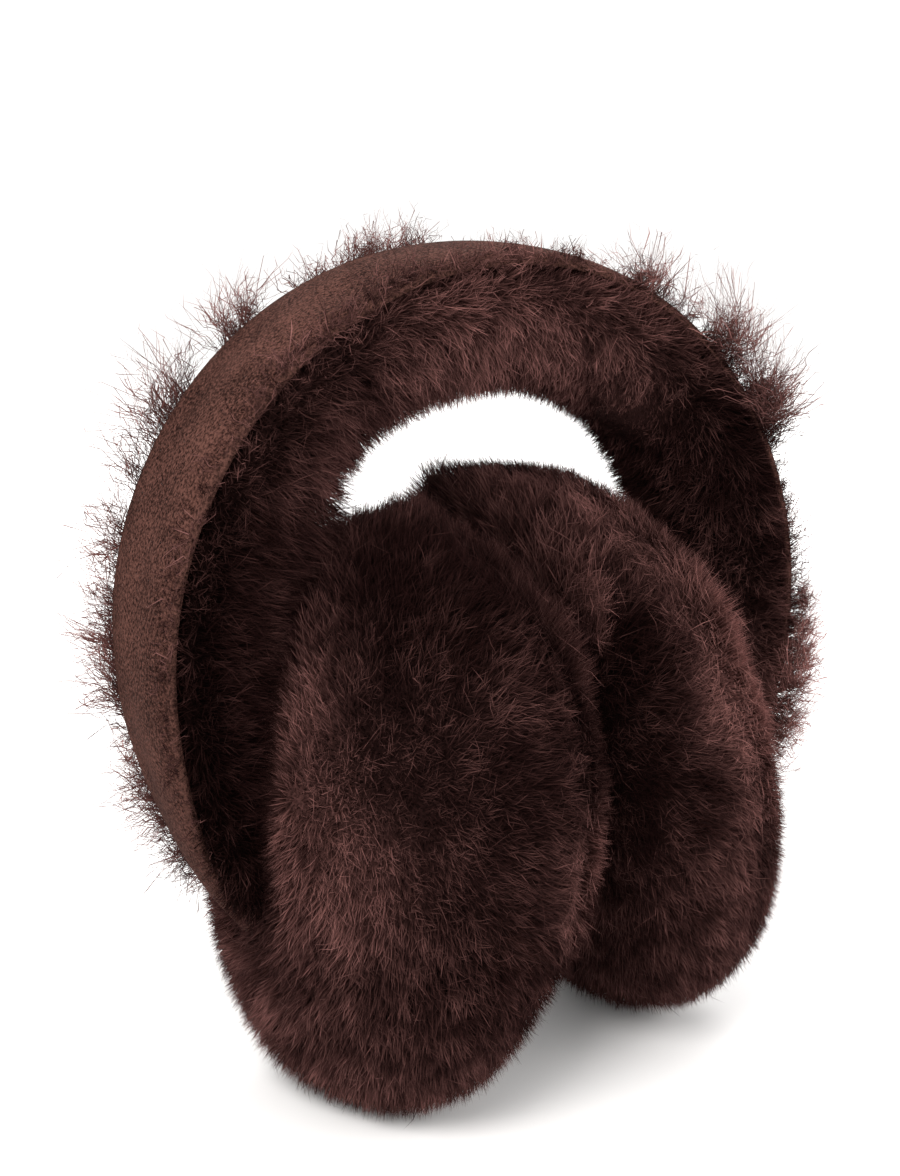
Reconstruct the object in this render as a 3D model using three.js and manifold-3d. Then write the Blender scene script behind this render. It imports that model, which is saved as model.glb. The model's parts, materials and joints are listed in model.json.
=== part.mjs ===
// Fur earmuffs standing on the soft bottoms of their ear pieces.
// Millimetres, +Z up, -Y is the front. The origin is on the floor, under the middle of the object's box.

import * as THREE from 'three';
import Module from 'manifold-3d';

const wasm = await Module();
wasm.setup();

// Air left between two pieces that touch.
const gap = 0.3;

// The hoop that the strap follows: half an ellipse over the head, and a longer one down to the cups.
// The arms reach out from the middle, the left one a little further.
const hoop = {
  leftReach: 85.4,
  rightReach: 82.2,
  crownRise: 85.2,
  armDrop: 93.5,
  widestLevel: 104.6,
  endAngle: 139,
  armTwist: -11.7,
  steps: 60,
};

// Suede strap on the outside of the hoop.
const strap = {
  width: 37.9,
  thickness: 2.8,
  crown: 1.4,
  edgeRoll: 0.9,
  edgeSharpness: 8,
  pointsAcross: 10,
};

// Soft dents of the suede: place along the hoop in degrees from the crown, place across it from -1 at
// the front edge to 1 at the back edge, depth in mm, and how far each dent runs both ways.
const strapDents = [
  { angle: -24, across: -0.45, depth: 1.1, alongSpan: 5, acrossSpan: 0.45 },
  { angle: -48, across: 0.35, depth: 0.8, alongSpan: 14, acrossSpan: 0.3 },
  { angle: -74, across: -0.1, depth: 0.8, alongSpan: 16, acrossSpan: 0.3 },
  { angle: -104, across: 0.2, depth: 1.0, alongSpan: 9, acrossSpan: 0.4 },
  { angle: 30, across: 0.2, depth: 0.8, alongSpan: 15, acrossSpan: 0.35 },
  { angle: 82, across: -0.2, depth: 0.9, alongSpan: 12, acrossSpan: 0.35 },
];

// Deep fur under the strap, a half-round section, thinner at the widest part of the right arm.
const lining = {
  width: 36.6,
  depth: 32.3,
  rightDepth: 29,
  fullness: 0.8,
  pointsUnder: 15,
  pointsTop: 6,
};

// Roundness of the pads and cups: 2 is an ellipsoid, more is boxier.
const plumpness = 2.3;
const roundSteps = 36;
const ringSteps = 16;
// The first and last rings stay this share of a step off the axis, and a fan closes each of them.
const poleShare = 0.35;

// Ear pads, which press on each other in the middle. Turn is about the vertical, tip brings the top
// of a pad inward, both in degrees.
const pads = [
  { side: 'left', sign: -1, x: -33.5, y: -16.6, z: 69.8, across: 118, tall: 126.5, turn: -12, tip: 8.5 },
  { side: 'right', sign: 1, x: 27.5, y: -5.5, z: 69.0, across: 127, tall: 142, turn: 0.7, tip: 11.8 },
];
const padThickness = 59;
const pressPlaneX = -2.6;

// Outer cups: the lips of fur at the arm ends, behind and below the pads. The left one reaches the
// floor. Outward and below are measured from the pad's middle.
const cups = {
  left: { outward: 5, below: 21, across: 103.5, thick: 50, tip: 7 },
  right: { outward: 15, below: 20, across: 100, thick: 40, tip: 7 },
};

// Soft hollows of the fur, and swells where depth is below 0. Around is in degrees about the piece's
// own axis from its front rim towards its top, faceShare is 1 at the middle of the inner face, 0 at
// the rim and -1 outside.
const furHollows = [
  { piece: 'ear_pad_left', around: 62, faceShare: 0.25, depth: 3.0, span: 16 },
  { piece: 'ear_pad_left', around: -28, faceShare: -0.35, depth: 2.2, span: 18 },
  { piece: 'ear_pad_right', around: 58, faceShare: 0.5, depth: 4.0, span: 13 },
  { piece: 'ear_pad_right', around: 5, faceShare: 0.2, depth: 2.5, span: 18 },
  { piece: 'ear_pad_right', around: 112, faceShare: 0.5, depth: -9, span: 26 },
  { piece: 'ear_pad_left', around: 100, faceShare: 0.2, depth: -4, span: 22 },
];

const looks = {
  suede: { color: 0x4a2c26, roughness: 0.92, metalness: 0 },
  fur: { color: 0x24110f, roughness: 1, metalness: 0 },
};

const radians = THREE.MathUtils.degToRad;
const bell = (distance) => Math.exp(-(distance ** 2));

// ---- bodies ----

// A closed body through rings of points; a fan of triangles closes each end.
function bodyThrough(rings) {
  const count = rings[0].length;
  const points = rings.flat();
  const index = [];
  for (let r = 0; r + 1 < rings.length; r += 1) {
    for (let k = 0; k < count; k += 1) {
      const a = r * count + k;
      const b = r * count + (k + 1) % count;
      index.push(a, b, b + count, a, b + count, a + count);
    }
  }
  const middleOf = (ring) => {
    const middle = new THREE.Vector3();
    ring.forEach((point) => middle.add(point));
    return middle.divideScalar(ring.length);
  };
  const last = (rings.length - 1) * count;
  points.push(middleOf(rings[0]), middleOf(rings.at(-1)));
  for (let k = 0; k < count; k += 1) {
    const next = (k + 1) % count;
    index.push(points.length - 2, next, k);
    index.push(points.length - 1, last + k, last + next);
  }
  return new wasm.Manifold(new wasm.Mesh({
    numProp: 3,
    vertProperties: new Float32Array(points.flatMap((point) => point.toArray())),
    triVerts: new Uint32Array(index),
  }));
}

// A block as a solid, by its two opposite corners.
function block(low, high) {
  const corners = (z) => [
    new THREE.Vector3(low.x, low.y, z),
    new THREE.Vector3(high.x, low.y, z),
    new THREE.Vector3(high.x, high.y, z),
    new THREE.Vector3(low.x, high.y, z),
  ];
  return bodyThrough([corners(low.z), corners(high.z)]);
}

function meshOf(name, solid, look) {
  const { vertProperties, triVerts } = solid.getMesh();
  const geometry = new THREE.BufferGeometry();
  geometry.setAttribute('position', new THREE.BufferAttribute(vertProperties, 3));
  geometry.setIndex(new THREE.BufferAttribute(triVerts, 1));
  geometry.computeVertexNormals();
  const mesh = new THREE.Mesh(geometry, new THREE.MeshStandardMaterial(look));
  mesh.name = name;
  return mesh;
}

// ---- strap and lining ----

// A point of the hoop's cross-section at an angle from the crown: outward from the centreline and
// across the strap, towards the back.
function hoopPoint(angle, outward, across) {
  const bend = radians(angle);
  const rise = Math.abs(angle) < 90 ? hoop.crownRise : hoop.armDrop;
  const reach = angle < 0 ? hoop.leftReach : hoop.rightReach;
  const normal = new THREE.Vector3(rise * Math.sin(bend), 0, reach * Math.cos(bend)).normalize();
  const twist = radians(hoop.armTwist) * (angle / hoop.endAngle) ** 2;
  const lift = outward * Math.cos(twist) + across * Math.sin(twist);
  const side = across * Math.cos(twist) - outward * Math.sin(twist);
  return new THREE.Vector3(
    reach * Math.sin(bend) + normal.x * lift,
    side,
    hoop.widestLevel + rise * Math.cos(bend) + normal.z * lift,
  );
}

// Height of the suede's outer face over the centreline, with its crown, rolled edges and dents.
function strapFace(angle, share) {
  let height = strap.crown * (1 - share ** 2) - strap.edgeRoll * share ** strap.edgeSharpness;
  for (const dent of strapDents) {
    const along = bell((angle - dent.angle) / dent.alongSpan);
    height -= dent.depth * along * bell((share - dent.across) / dent.acrossSpan);
  }
  return height;
}

function hoopRings(section) {
  const rings = [];
  for (let i = 0; i <= hoop.steps; i += 1) {
    rings.push(section(hoop.endAngle * (1 - 2 * i / hoop.steps)));
  }
  return rings;
}

function strapSection(angle) {
  const outer = [];
  const inner = [];
  for (let i = 0; i <= strap.pointsAcross; i += 1) {
    const share = 2 * i / strap.pointsAcross - 1;
    const across = share * strap.width / 2;
    const face = strapFace(angle, share);
    outer.push(hoopPoint(angle, face, across));
    inner.push(hoopPoint(angle, face - strap.thickness, across));
  }
  return [...outer, ...inner.reverse()];
}

function liningSection(angle) {
  const seat = strap.thickness + gap;
  const half = lining.width / 2;
  const faceAt = (across) => strapFace(angle, across / (strap.width / 2)) - seat;
  const ring = [];
  for (let i = 0; i <= lining.pointsTop; i += 1) {
    const across = half * (2 * i / lining.pointsTop - 1);
    ring.push(hoopPoint(angle, faceAt(across), across));
  }
  const edge = faceAt(half);
  const thinning = (lining.depth - lining.rightDepth) * Math.max(0, Math.sin(radians(angle)));
  for (let i = 1; i < lining.pointsUnder; i += 1) {
    const turn = Math.PI * (0.5 - i / lining.pointsUnder);
    const across = half * Math.sign(turn) * Math.abs(Math.sin(turn)) ** lining.fullness;
    const under = edge - (lining.depth - thinning + edge) * Math.cos(turn) ** lining.fullness;
    ring.push(hoopPoint(angle, under, across));
  }
  return ring;
}

// ---- pads and cups ----

// A plump round body about its own axis, which points to the inner face. Grow adds to every side.
function plumpBody(shape, grow = 0) {
  const tip = radians(shape.tip);
  const turn = radians(shape.turn);
  const axis = new THREE.Vector3(
    -shape.sign * Math.cos(tip) * Math.cos(turn),
    -Math.sin(turn) * Math.cos(tip),
    -Math.sin(tip),
  );
  const front = new THREE.Vector3(0, 0, 1).cross(axis).normalize().multiplyScalar(shape.sign);
  const up = new THREE.Vector3().crossVectors(axis, front).multiplyScalar(shape.sign);
  const hollows = furHollows.filter((row) => row.piece === shape.name);
  const rings = [];
  for (let i = 0; i <= ringSteps; i += 1) {
    const level = Math.PI * (i + poleShare) / (ringSteps + 2 * poleShare);
    const ring = [];
    for (let k = 0; k < roundSteps; k += 1) {
      const around = 2 * Math.PI * k / roundSteps;
      const share = Math.cos(level);
      const spread = Math.sin(level);
      const reach = (Math.abs(share) ** plumpness + spread ** plumpness) ** (-1 / plumpness);
      const point = axis.clone().multiplyScalar(share * reach * (shape.thick / 2 + grow))
        .addScaledVector(front, Math.cos(around) * spread * reach * (shape.across / 2 + grow))
        .addScaledVector(up, Math.sin(around) * spread * reach * (shape.tall / 2 + grow));
      for (const hollow of hollows) {
        const past = around - radians(hollow.around) + Math.PI;
        const turnAway = THREE.MathUtils.euclideanModulo(past, 2 * Math.PI) - Math.PI;
        const away = Math.hypot(turnAway, share - hollow.faceShare) * shape.across / 2;
        point.setLength(point.length() - hollow.depth * bell(away / hollow.span));
      }
      ring.push(point.add(new THREE.Vector3(shape.x, shape.y, shape.z)));
    }
    rings.push(ring);
  }
  // The two sides mirror each other, so one of them has its rings turned round to face outward.
  return bodyThrough(shape.sign < 0 ? rings : rings.map((ring) => [...ring].reverse()));
}

function cupShape(pad) {
  const cup = cups[pad.side];
  const tip = radians(pad.tip);
  const turn = radians(pad.turn);
  return {
    name: `ear_cup_${pad.side}`,
    sign: pad.sign,
    x: pad.x + pad.sign * Math.cos(tip) * Math.cos(turn) * cup.outward,
    y: pad.y + Math.sin(turn) * Math.cos(tip) * cup.outward,
    z: pad.z + Math.sin(tip) * cup.outward - cup.below,
    across: cup.across,
    tall: cup.across,
    thick: cup.thick,
    turn: pad.turn,
    tip: cup.tip,
  };
}

// ---- assembly ----

const far = 200;
const underFloor = block(new THREE.Vector3(-far, -far, -far), new THREE.Vector3(far, far, 0));

let strapSolid = bodyThrough(hoopRings(strapSection));
let liningSolid = bodyThrough(hoopRings(liningSection));
const earmuffs = new THREE.Group();

for (const row of pads) {
  const pad = { name: `ear_pad_${row.side}`, thick: padThickness, ...row };
  const shape = cupShape(row);
  const pressEdge = pressPlaneX + row.sign * gap / 2;
  const otherSide = row.sign < 0
    ? block(new THREE.Vector3(pressEdge, -far, -far), new THREE.Vector3(far, far, far))
    : block(new THREE.Vector3(-far, -far, -far), new THREE.Vector3(pressEdge, far, far));
  const grownPad = plumpBody(pad, gap);
  const grownCup = plumpBody(shape, gap);
  const padSolid = plumpBody(pad).subtract(otherSide).subtract(underFloor);
  const cupSolid = plumpBody(shape).subtract(grownPad).subtract(underFloor);
  strapSolid = strapSolid.subtract(grownPad).subtract(grownCup);
  liningSolid = liningSolid.subtract(grownPad).subtract(grownCup);
  earmuffs.add(meshOf(pad.name, padSolid, looks.fur));
  earmuffs.add(meshOf(shape.name, cupSolid, looks.fur));
}

earmuffs.add(meshOf('band_suede', strapSolid, looks.suede));
earmuffs.add(meshOf('band_fur', liningSolid, looks.fur));

// Stands the object with the middle of its box over the origin.
const middle = new THREE.Box3().setFromObject(earmuffs).getCenter(new THREE.Vector3());
earmuffs.position.set(-middle.x, -middle.y, 0);

export default earmuffs;
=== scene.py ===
import json
import math

import bmesh
import bpy
import numpy as np
from mathutils import Matrix, Vector
from mathutils.bvhtree import BVHTree

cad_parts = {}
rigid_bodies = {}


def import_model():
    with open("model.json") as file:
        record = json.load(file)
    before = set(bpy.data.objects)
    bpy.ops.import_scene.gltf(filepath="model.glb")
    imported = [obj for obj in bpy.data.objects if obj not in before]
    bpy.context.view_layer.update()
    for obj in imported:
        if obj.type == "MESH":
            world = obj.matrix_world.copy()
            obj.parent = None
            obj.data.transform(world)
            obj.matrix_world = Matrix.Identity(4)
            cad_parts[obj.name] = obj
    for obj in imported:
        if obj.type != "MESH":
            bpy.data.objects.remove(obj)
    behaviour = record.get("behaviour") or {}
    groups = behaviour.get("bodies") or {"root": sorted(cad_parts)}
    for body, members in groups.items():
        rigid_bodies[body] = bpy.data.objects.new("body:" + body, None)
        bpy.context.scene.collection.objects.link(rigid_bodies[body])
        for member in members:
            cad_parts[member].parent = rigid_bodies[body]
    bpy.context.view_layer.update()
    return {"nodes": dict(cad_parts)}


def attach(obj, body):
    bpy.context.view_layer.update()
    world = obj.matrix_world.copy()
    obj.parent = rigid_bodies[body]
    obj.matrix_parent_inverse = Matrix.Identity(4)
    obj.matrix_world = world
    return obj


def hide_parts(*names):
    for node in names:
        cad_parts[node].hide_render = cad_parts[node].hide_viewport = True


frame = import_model()
mm = 0.001
scene = bpy.context.scene


# The camera, the floor and the lights.

view = {
    "lookAt": (0.001645, 0.008394, 0.0998),
    "turn": 31.7,  # degrees round to the left of the front
    "rise": 14.6,
    "roll": -0.94,
    "distance": 0.486,
    "sensor": 36,
    "lens": 62.35,
    "shift": (-0.0186, 0.0378),
}


def addCamera():
    turn, rise, roll = (math.radians(view[key]) for key in ("turn", "rise", "roll"))
    back = Vector((-math.sin(turn) * math.cos(rise), -math.cos(turn) * math.cos(rise), math.sin(rise)))
    right = Vector((math.cos(turn), -math.sin(turn), 0))
    up = back.cross(right)
    rolledRight = right * math.cos(roll) + up * math.sin(roll)
    rolledUp = up * math.cos(roll) - right * math.sin(roll)
    data = bpy.data.cameras.new("camera")
    data.sensor_width = view["sensor"]
    data.lens = view["lens"]
    data.shift_x, data.shift_y = view["shift"]
    data.clip_start, data.clip_end = 0.01, 50
    camera = bpy.data.objects.new("camera", data)
    turned = Matrix((rolledRight, rolledUp, back)).transposed().to_4x4()
    camera.matrix_world = Matrix.Translation(Vector(view["lookAt"]) + back * view["distance"]) @ turned
    scene.collection.objects.link(camera)
    scene.camera = camera


studio = {
    "floorRadius": 6.0,
    "floorColour": (0.93, 0.925, 0.92, 1),
    "floorRoughness": 0.9,
    "floorGloss": 0.1,
    "skyColour": (1.0, 0.995, 0.99, 1),
    "skyStrength": 1.13,
}

# Softboxes: where each stands, how wide it is, its power in watts and its colour.
softboxes = {
    "keyLight": {"place": (-0.70, -0.60, 1.05), "size": 0.6, "power": 13, "colour": (1.0, 0.97, 0.95)},
    "fillLight": {"place": (0.95, -0.65, 0.5), "size": 0.8, "power": 8, "colour": (1.0, 0.97, 0.96)},
    "rimLight": {"place": (0.65, 0.75, 0.7), "size": 0.6, "power": 6, "colour": (1.0, 0.98, 0.97)},
}
lightTarget = Vector((0, 0, 0.09))


def addStudio():
    mesh = bpy.data.meshes.new("floor")
    shape = bmesh.new()
    bmesh.ops.create_circle(shape, cap_ends=True, segments=96, radius=studio["floorRadius"])
    shape.to_mesh(mesh)
    shape.free()
    floor = bpy.data.objects.new("floor", mesh)
    scene.collection.objects.link(floor)
    paper = bpy.data.materials.new("studioPaper")
    paper.use_nodes = True
    surface = paper.node_tree.nodes["Principled BSDF"]
    surface.inputs["Base Color"].default_value = studio["floorColour"]
    surface.inputs["Roughness"].default_value = studio["floorRoughness"]
    surface.inputs["Specular IOR Level"].default_value = studio["floorGloss"]
    mesh.materials.append(paper)

    world = bpy.data.worlds.new("softSky")
    world.use_nodes = True
    sky = world.node_tree.nodes["Background"]
    sky.inputs["Color"].default_value = studio["skyColour"]
    sky.inputs["Strength"].default_value = studio["skyStrength"]
    scene.world = world
    scene.view_settings.view_transform = "Standard"

    for name, box in softboxes.items():
        data = bpy.data.lights.new(name, "AREA")
        data.size = box["size"]
        data.energy = box["power"]
        data.color = box["colour"]
        light = bpy.data.objects.new(name, data)
        light.location = box["place"]
        light.rotation_euler = (Vector(box["place"]) - lightTarget).to_track_quat("Z", "Y").to_euler()
        light.visible_camera = False
        scene.collection.objects.link(light)


addCamera()
addStudio()
print("camera and studio done")


# Node trees from expressions.

class Wire:
    # One output of a node. Sums and products of wires add Math nodes, or Vector Math nodes for vectors.
    def __init__(self, tree, socket):
        self.tree = tree
        self.socket = socket
        self.holdsVector = socket.type == "VECTOR"

    def combined(self, operation, first, second):
        vectors = any(isinstance(part, Wire) and part.holdsVector for part in (first, second))
        if not vectors:
            return addNode(self.tree, "ShaderNodeMath", {"operation": operation}, {0: first, 1: second})
        first, second = (
            part if isinstance(part, (Wire, tuple)) else (part, part, part) for part in (first, second)
        )
        return addNode(self.tree, "ShaderNodeVectorMath", {"operation": operation}, {0: first, 1: second})

    def __add__(self, other):
        return self.combined("ADD", self, other)

    __radd__ = __add__

    def __sub__(self, other):
        return self.combined("SUBTRACT", self, other)

    def __rsub__(self, other):
        return self.combined("SUBTRACT", other, self)

    def __mul__(self, other):
        return self.combined("MULTIPLY", self, other)

    __rmul__ = __mul__

    def __truediv__(self, other):
        return self.combined("DIVIDE", self, other)

    def __rtruediv__(self, other):
        return self.combined("DIVIDE", other, self)

    def __pow__(self, other):
        return self.combined("POWER", self, other)

    def limited(self, low=0.0, high=1.0):
        return addNode(self.tree, "ShaderNodeClamp", {}, {"Value": self, "Min": low, "Max": high})

    def output(self, name):
        return Wire(self.tree, self.socket.node.outputs[name])


def addNode(tree, kind, settings, sockets, output=0):
    made = tree.nodes.new(kind)
    for name, value in settings.items():
        setattr(made, name, value)
    for name, value in sockets.items():
        target = made.inputs[name]
        if isinstance(value, Wire):
            tree.links.new(value.socket, target)
        else:
            target.default_value = value
    if isinstance(output, str):
        return Wire(tree, made.outputs[output])
    shown = [socket for socket in made.outputs if socket.enabled]
    return Wire(tree, shown[output]) if shown else None


def blended(tree, share, first, second):
    # Colours only: share 0 gives the first one and 1 the second.
    return addNode(tree, "ShaderNodeMix", {"data_type": "RGBA"}, {0: share, 6: first, 7: second})


def newFinish(name):
    material = bpy.data.materials.new(name)
    material.use_nodes = True
    return material, material.node_tree, material.node_tree.nodes["Principled BSDF"]


# The finishes.

furLook = {
    "rootColour": (0.0030, 0.0010, 0.0009, 1),
    "shaftDark": (0.0080, 0.0028, 0.0025, 1),
    "shaftLight": (0.1350, 0.0590, 0.0520, 1),
    "tipDark": (0.0200, 0.0073, 0.0066, 1),
    "tipLight": (0.3300, 0.1520, 0.1370, 1),
    "rootFade": 1.8,  # how soon the root's colour gives way to the shaft's
    "tipStart": 0.55,
    "tipFade": 2.6,
    "roughness": 0.8,
    "gloss": 0.02,
}


def furFinish():
    # The map's u runs from a strand's root to its tip, and its v is how light the strand is.
    material, tree, surface = newFinish("sheepFur")
    place = addNode(tree, "ShaderNodeUVMap", {"uv_map": "OFBake"}, {})
    along = addNode(tree, "ShaderNodeSeparateXYZ", {}, {0: place})
    lightness = along.output("Y") * along.output("Y")
    shaft = blended(tree, lightness, furLook["shaftDark"], furLook["shaftLight"])
    tip = blended(tree, lightness, furLook["tipDark"], furLook["tipLight"])
    shaftShare = (along * furLook["rootFade"]).limited()
    tipShare = ((along - furLook["tipStart"]) * furLook["tipFade"]).limited()
    fromRoot = blended(tree, shaftShare, furLook["rootColour"], shaft)
    colour = blended(tree, tipShare, fromRoot, tip)
    tree.links.new(colour.socket, surface.inputs["Base Color"])
    surface.inputs["Roughness"].default_value = furLook["roughness"]
    surface.inputs["Specular IOR Level"].default_value = furLook["gloss"]
    return material


woolLook = {
    "darkWool": (0.0055, 0.0020, 0.0018, 1),
    "lightWool": (0.1100, 0.0490, 0.0440, 1),
    "grain": 1300.0,
    "relief": 0.001,
    "roughness": 0.9,
    "gloss": 0.02,
}


def woolFinish():
    # The hide and the dense wool at the strands' feet. Its tone follows the pile's patches, painted
    # highlights and painted shade among them.
    material, tree, surface = newFinish("woolUnderfur")
    place = addNode(tree, "ShaderNodeTexCoord", {}, {}, "Object")
    wool = addNode(tree, "ShaderNodeTexNoise", {}, {
        "Vector": place, "Scale": woolLook["grain"], "Detail": 4.0,
    })
    light = addNode(tree, "ShaderNodeAttribute", {"attribute_name": "woolLight"}, {}, "Fac")
    share = (light * light * (0.4 + wool * 1.2)).limited()
    colour = blended(tree, share, woolLook["darkWool"], woolLook["lightWool"])
    bump = addNode(tree, "ShaderNodeBump", {}, {
        "Strength": 0.8, "Distance": woolLook["relief"], "Height": wool,
    })
    tree.links.new(colour.socket, surface.inputs["Base Color"])
    tree.links.new(bump.socket, surface.inputs["Normal"])
    surface.inputs["Roughness"].default_value = woolLook["roughness"]
    surface.inputs["Specular IOR Level"].default_value = woolLook["gloss"]
    return material


suedeLook = {
    "napDark": (0.0130, 0.0050, 0.0037, 1),
    "napLight": (0.1220, 0.0540, 0.0420, 1),
    "pitColour": (0.008, 0.0030, 0.0024, 1),
    "wornColour": (0.105, 0.052, 0.042, 1),
    # painted shade: the strap is made darker down its arms, away from the crown
    "paintedArmShade": (0.026, 0.0105, 0.0082, 1),
    "grain": 1500.0,
    "grainContrast": 3.8,
    "pits": 1100.0,
    "pitSharpness": 2.4,
    "pitShade": 0.85,
    "smudges": 55.0,
    "smudgeContrast": 1.2,
    "wornFrom": 0.455,  # how far from the middle the worn edge starts, as a share of the width
    "wornFade": 28,
    "wornShare": 0.3,
    "armShade": 0.5,
    "relief": 0.0008,
    "roughness": 0.95,
    "gloss": 0.03,
}


def suedeFinish():
    # The map's u runs along the hoop and its v across the strap, 0 at the front edge and 1 at the back.
    material, tree, surface = newFinish("brushedSuede")
    place = addNode(tree, "ShaderNodeTexCoord", {}, {}, "Object")
    along = addNode(tree, "ShaderNodeSeparateXYZ", {}, {
        0: addNode(tree, "ShaderNodeUVMap", {"uv_map": "strapMap"}, {}),
    })
    across = along.output("Y")
    fromCrown = addNode(tree, "ShaderNodeMath", {"operation": "ABSOLUTE"}, {0: along * 2.0 - 1.0})
    grain = addNode(tree, "ShaderNodeTexNoise", {}, {
        "Vector": place, "Scale": suedeLook["grain"], "Detail": 3.0, "Roughness": 0.7,
    })
    smudges = addNode(tree, "ShaderNodeTexNoise", {}, {
        "Vector": place, "Scale": suedeLook["smudges"], "Detail": 4.0, "Roughness": 0.6,
    })
    pits = addNode(tree, "ShaderNodeTexVoronoi", {}, {
        "Vector": place, "Scale": suedeLook["pits"], "Randomness": 1.0,
    })
    pitShare = (1 - pits * suedeLook["pitSharpness"]).limited()
    napShare = (
        (grain - 0.5) * suedeLook["grainContrast"] + (smudges - 0.5) * suedeLook["smudgeContrast"] + 0.5
    ).limited()
    nap = blended(tree, napShare, suedeLook["napDark"], suedeLook["napLight"])
    pitted = blended(tree, pitShare * suedeLook["pitShade"], nap, suedeLook["pitColour"])
    fromMiddle = addNode(tree, "ShaderNodeMath", {"operation": "ABSOLUTE"}, {0: across - 0.5})
    edge = ((fromMiddle - suedeLook["wornFrom"]) * suedeLook["wornFade"]).limited()
    worn = (edge * (0.35 + smudges * 0.9)).limited()
    edged = blended(tree, worn * suedeLook["wornShare"], pitted, suedeLook["wornColour"])
    # Painted shade: the suede's colour darkens towards the ends of the arms.
    colour = blended(tree, fromCrown ** 3.0 * suedeLook["armShade"], edged, suedeLook["paintedArmShade"])
    height = grain * 0.6 - pitShare * 0.9 + smudges * 0.4
    bump = addNode(tree, "ShaderNodeBump", {}, {
        "Strength": 0.9, "Distance": suedeLook["relief"], "Height": height,
    })
    tree.links.new(colour.socket, surface.inputs["Base Color"])
    tree.links.new(bump.socket, surface.inputs["Normal"])
    surface.inputs["Roughness"].default_value = suedeLook["roughness"]
    surface.inputs["Specular IOR Level"].default_value = suedeLook["gloss"]
    return material


sheepFur = furFinish()
woolUnderfur = woolFinish()
brushedSuede = suedeFinish()
print("finishes done")


# The hoop that the strap follows.

hoop = {
    "middle": (1.645 * mm, 8.394 * mm),  # where the hoop's centre stands over the floor
    "leftReach": 85.4 * mm,
    "rightReach": 82.2 * mm,
    "crownRise": 85.2 * mm,
    "armDrop": 93.5 * mm,
    "widestLevel": 104.6 * mm,
    "endAngle": 139.0,
    "armTwist": -11.7,
}


def hoopFrame(angle):
    # The centreline's place, and its outward and across directions, at degrees from the crown.
    bend = math.radians(angle)
    rise = hoop["crownRise"] if abs(angle) < 90 else hoop["armDrop"]
    reach = hoop["leftReach"] if angle < 0 else hoop["rightReach"]
    normal = Vector((rise * math.sin(bend), 0, reach * math.cos(bend))).normalized()
    place = Vector((
        hoop["middle"][0] + reach * math.sin(bend),
        hoop["middle"][1],
        hoop["widestLevel"] + rise * math.cos(bend),
    ))
    twist = math.radians(hoop["armTwist"]) * (angle / hoop["endAngle"]) ** 2
    outward = normal * math.cos(twist) - Vector((0, math.sin(twist), 0))
    across = normal * math.sin(twist) + Vector((0, math.cos(twist), 0))
    return place, outward, across


def smoothStep(value, low, high):
    share = np.clip((np.asarray(value, float) - low) / (high - low), 0, 1)
    return share * share * (3 - 2 * share)


# The suede strap.

strap = {
    "width": 37.9 * mm,
    "thickness": 1.5 * mm,
    "crown": 1.9 * mm,
    "edgeRoll": 0.9 * mm,
    "edgeSharpness": 8,
    "stepsAlong": 200,
    "stepsAcross": 22,
    "foldStart": 100.0,  # degrees from the crown where each arm starts to narrow
    "foldEnd": 136.0,
    "foldShare": 0.35,
}

# Soft dents: place along the hoop, place across it from -1 at the front edge to 1, depth in mm and spans.
strapDents = [
    {"angle": -24, "across": -0.45, "depth": 1.1, "along": 5, "wide": 0.45},
    {"angle": -48, "across": 0.35, "depth": 0.8, "along": 14, "wide": 0.3},
    {"angle": -74, "across": -0.1, "depth": 0.8, "along": 16, "wide": 0.3},
    {"angle": -104, "across": 0.2, "depth": 1.0, "along": 9, "wide": 0.4},
    {"angle": 30, "across": 0.2, "depth": 0.8, "along": 15, "wide": 0.35},
    {"angle": 82, "across": -0.2, "depth": 0.9, "along": 12, "wide": 0.35},
]


def strapFace(angle, share):
    height = strap["crown"] * (1 - share ** 2) - strap["edgeRoll"] * share ** strap["edgeSharpness"]
    for dent in strapDents:
        along = (angle - dent["angle"]) / dent["along"]
        across = (share - dent["across"]) / dent["wide"]
        height -= dent["depth"] * mm * math.exp(-(along ** 2 + across ** 2))
    return height


def makeStrap():
    shape = bmesh.new()
    mapLayer = shape.loops.layers.uv.new("strapMap")
    rings = []
    spots = {}
    for i in range(strap["stepsAlong"] + 1):
        angle = hoop["endAngle"] * (2 * i / strap["stepsAlong"] - 1)
        place, outward, across = hoopFrame(angle)
        folded = float(smoothStep(abs(angle), strap["foldStart"], strap["foldEnd"]))
        narrowing = 1 - (1 - strap["foldShare"]) * folded
        ring = []
        top = []
        under = []
        for k in range(strap["stepsAcross"] + 1):
            share = 2 * k / strap["stepsAcross"] - 1
            side = share * strap["width"] / 2 * narrowing
            face = strapFace(angle, share)
            top.append((place + outward * face + across * side, share))
            under.append((place + outward * (face - strap["thickness"]) + across * side, share))
        # Each ring runs along the upper face and back along the under face.
        for point, share in [*top, *reversed(under)]:
            vertex = shape.verts.new(point)
            spots[vertex] = (i / strap["stepsAlong"], (share + 1) / 2)
            ring.append(vertex)
        rings.append(ring)
    count = len(rings[0])
    for first, second in zip(rings, rings[1:]):
        for k in range(count):
            following = (k + 1) % count
            shape.faces.new((first[k], first[following], second[following], second[k]))
    for ring in (rings[0], rings[-1]):
        shape.faces.new(ring)
    bmesh.ops.recalc_face_normals(shape, faces=shape.faces)
    for face in shape.faces:
        face.smooth = True
        for loop in face.loops:
            loop[mapLayer].uv = spots[loop.vert]
    mesh = bpy.data.meshes.new("strapSuede")
    shape.to_mesh(mesh)
    shape.free()
    piece = bpy.data.objects.new("strapSuede", mesh)
    scene.collection.objects.link(piece)
    mesh.materials.append(brushedSuede)
    return piece


strapSuede = makeStrap()
print("strap done")


# The skins under the fur.

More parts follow.
